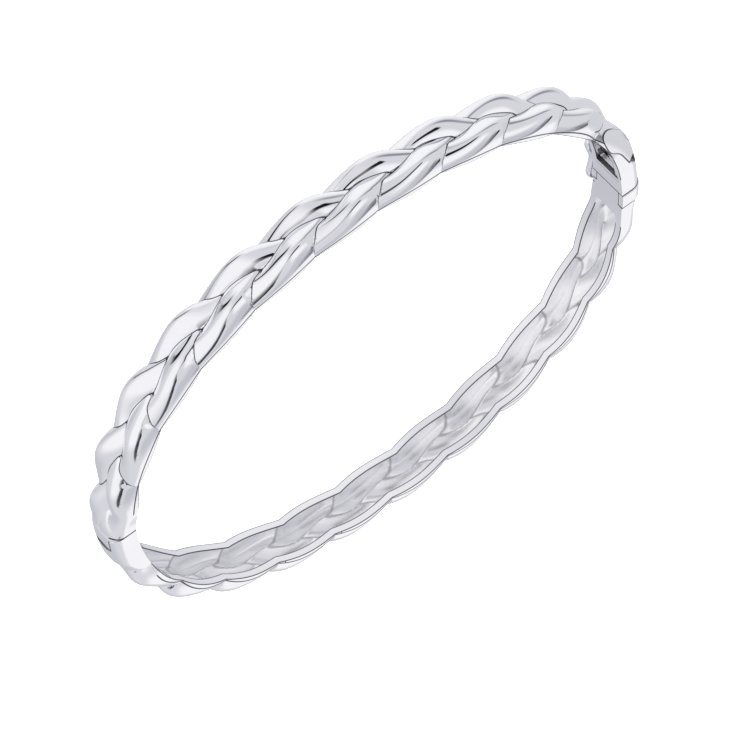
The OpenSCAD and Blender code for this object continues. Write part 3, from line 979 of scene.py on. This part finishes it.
for piece, target in ((frontHalf, "front_half"), (lug, "front_half"),
                      (backHalf, "back_half"), (lowerLeaf, "back_half"),
                      (collar, "thumb_piece"), (upperLeaf, "thumb_piece"),
                      (wire, "safety_catch"), (crossBar, "safety_catch"), (bead, "catch_bead")):
    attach(piece, target if target != "catch_bead" else "back_half")
    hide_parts(target)
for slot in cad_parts["hinge_pin"].material_slots:
    slot.material = pinMetal
print("pieces placed on their bodies")

# Camera, at the photo's angle

view = dict(
    azimuth=17.39, elevation=26.39, roll=136.67,   # degrees; azimuth 0 looks along +Y, 90 along -X
    distance=370.16, target=(0, 5.099, 0), lens=186.14,
)
camera = bpy.data.objects.new("camera", bpy.data.cameras.new("camera"))
scene.collection.objects.link(camera)
camera.data.lens = view["lens"]
camera.data.sensor_width = 36
camera.data.clip_start, camera.data.clip_end = 0.01, 20
azimuth, elevation = radians(view["azimuth"]), radians(view["elevation"])
forward = Vector((-sin(azimuth) * cos(elevation), cos(azimuth) * cos(elevation), -sin(elevation)))
place = (Vector(view["target"]) - forward * view["distance"]) * mm
turned = forward.to_track_quat("-Z", "Y").to_matrix() @ Matrix.Rotation(radians(view["roll"]), 3, "Z")
camera.matrix_world = Matrix.Translation(place) @ turned.to_4x4()
scene.camera = camera

# Floor and light

studio = dict(
    surround=(0.72, 0.72, 0.75),   # pale grey surround that the metal reflects
    floorHalf=1500, cardDistance=800,
    topLight=6,        # power of the soft light over the floor, in watts
    topHeight=700, topSize=900,
)
floorHeight, reach = cadBox[0][2] / mm, studio["floorHalf"]
corners = [(x * reach, y * reach, floorHeight) for x, y in ((-1, -1), (1, -1), (1, 1), (-1, 1))]
floor = addObject("floor", makeMesh("floor", corners, [(0, 1, 2, 3)]))
floorMaterial = bpy.data.materials.new("paleFloor")
floorMaterial.use_nodes = True
floorLook = {"Base Color": (0.97, 0.97, 0.97, 1), "Roughness": 0.9, "Specular IOR Level": 0.1,
             "Emission Color": (1, 1, 1, 1), "Emission Strength": 0.75}   # a light table
for socket, value in floorLook.items():
    floorMaterial.node_tree.nodes["Principled BSDF"].inputs[socket].default_value = value
floor.data.materials.append(floorMaterial)
floor.visible_glossy = False

world = bpy.data.worlds.new("studio")
scene.world = world
world.use_nodes = True
background = world.node_tree.nodes["Background"]
background.inputs["Color"].default_value = (*studio["surround"], 1)
background.inputs["Strength"].default_value = 1.0
scene.view_settings.view_transform = "Standard"

lamp = bpy.data.objects.new("topLight", bpy.data.lights.new("topLight", "AREA"))
scene.collection.objects.link(lamp)
lamp.data.shape, lamp.data.size = "DISK", studio["topSize"] * mm
lamp.data.energy = studio["topLight"]
lamp.location = (0, 0, studio["topHeight"] * mm)
lamp.visible_glossy = False


def cardMaterial(name, brightness):
    # a glowing card that fades out where its fade attribute falls to 0
    material = bpy.data.materials.new(name)
    material.use_nodes = True
    tree = material.node_tree
    tree.nodes.clear()
    fade = node(tree, "Attribute", dict(attribute_name="fade"))
    glow, clear = node(tree, "Emission", Color=(*brightness, 1)), node(tree, "BsdfTransparent")
    mix = node(tree, "MixShader")
    for socket, value in zip(mix.inputs, (fade.outputs["Fac"], clear.outputs[0], glow.outputs[0])):
        feed(tree, socket, value)
    node(tree, "OutputMaterial", Surface=mix.outputs[0])
    return material


def card(name, route, material, flat, ends):
    # a curved strip round the object that only reflections show: route lists azimuth, elevation
    # and half width in degrees; flat is the share of the width that is evenly bright, and ends
    # the length of the faded ends, in steps of the route
    route = np.array(route, float)
    run = np.linspace(0, len(route) - 1, 16 * (len(route) - 1) + 1)
    az, el, half = (np.interp(run, np.arange(len(route)), route[:, k]) for k in range(3))
    az, el = np.radians(az), np.radians(el)
    middle = np.stack([np.sin(az) * np.cos(el), np.cos(az) * np.cos(el), np.sin(el)], 1)
    ahead = np.gradient(middle, axis=0)
    side = np.cross(middle, ahead)
    side /= np.linalg.norm(side, axis=1, keepdims=True)
    across = np.linspace(-1, 1, 17)
    spread = np.tan(np.radians(half))[:, None] * across[None, :]
    points = middle[:, None, :] + side[:, None, :] * spread[..., None]
    points *= studio["cardDistance"] / np.linalg.norm(points, axis=-1, keepdims=True)
    fade = (ramp(1 - np.abs(across), 0, 1 - flat)[None, :]
            * ramp(np.minimum(run, run[-1] - run), 0, ends)[:, None])
    faces = quads(*points.shape[:2], openColumns=True)
    piece = addObject(name, makeMesh(name, points.reshape(-1, 3), faces))
    shade = piece.data.attributes.new("fade", "FLOAT", "POINT")
    shade.data.foreach_set("value", fade.ravel().astype(np.float32))
    piece.data.materials.append(material)
    piece.visible_camera = piece.visible_shadow = piece.visible_diffuse = False


white = cardMaterial("whiteCard", (0.98, 0.98, 0.985))
pale = cardMaterial("paleCard", (0.58, 0.58, 0.62))
middleGrey = cardMaterial("middleGreyCard", (0.27, 0.27, 0.30))
darkGrey = cardMaterial("darkGreyCard", (0.08, 0.08, 0.10))
black = cardMaterial("blackCard", (0.008, 0.008, 0.01))
card("rightPanel", [(60, 15, 44), (100, 15, 55), (140, 12, 55), (185, 10, 44)], white, 0.3, 0.8)
card("leftPanel", [(-190, 58, 20), (-160, 58, 26), (-130, 58, 30), (-90, 60, 20)], white, 0.3, 0.8)
card("lowPanel", [(-200, -54, 28), (-160, -52, 40), (-100, -56, 40), (-10, -58, 26)], white, 0.3, 0.8)
card("backWall", [(-30, -20, 34), (20, -20, 38), (70, -20, 34)], pale, 0.2, 0.8)
card("underWall", [(0, -66, 18), (75, -66, 22), (150, -66, 18)], pale, 0.2, 0.8)
card("ceiling", [(-110, 64, 14), (-50, 62, 20), (0, 62, 20), (40, 64, 18)], pale, 0.2, 0.8)
card("archGrey", [(-80, 30, 8), (-58, 44, 11), (-40, 48, 11), (-20, 50, 8)], middleGrey, 0.1, 0.8)
card("horizon", [(-170, -8, 10), (-120, -8, 12), (-80, -8, 10)], middleGrey, 0.1, 0.8)
card("highDark", [(34, 42, 8), (44, 42, 12), (52, 48, 13), (62, 58, 12), (80, 65, 11), (115, 66, 9)],
     darkGrey, 0.1, 0.8)
card("sidePanel", [(-50, 27, 14), (-32, 27, 22), (-2, 27, 22), (16, 27, 14)], white, 0.4, 0.7)
card("farDark", [(-36, -26, 10), (-25, -26, 18), (-9, -26, 18), (2, -26, 10)], darkGrey, 0.2, 1)
card("claspPanel", [(4, -26, 12), (17, -26, 16), (34, -26, 12)], white, 0.4, 0.7)
card("upperFlag", [(46, 46, 6), (54, 52, 7.5), (62, 60, 8), (94, 68, 8), (120, 60, 8), (140, 50, 7.5),
                   (158, 44, 7), (175, 38, 7), (200, 27, 7), (212, 18, 6)], black, 0.7, 0.5)
card("lowerFlag", [(60, -72, 6), (105, -68, 7), (156, -46, 7), (190, -45, 7), (214, -42, 7), (230, -38, 6)],
     black, 0.6, 0.5)
card("archLine", [(-68, 22, 4), (-62, 32, 5), (-54, 40, 5), (-42, 44, 5), (-28, 47, 4)], black, 0.5, 0.5)
print("camera, floor and lights set")
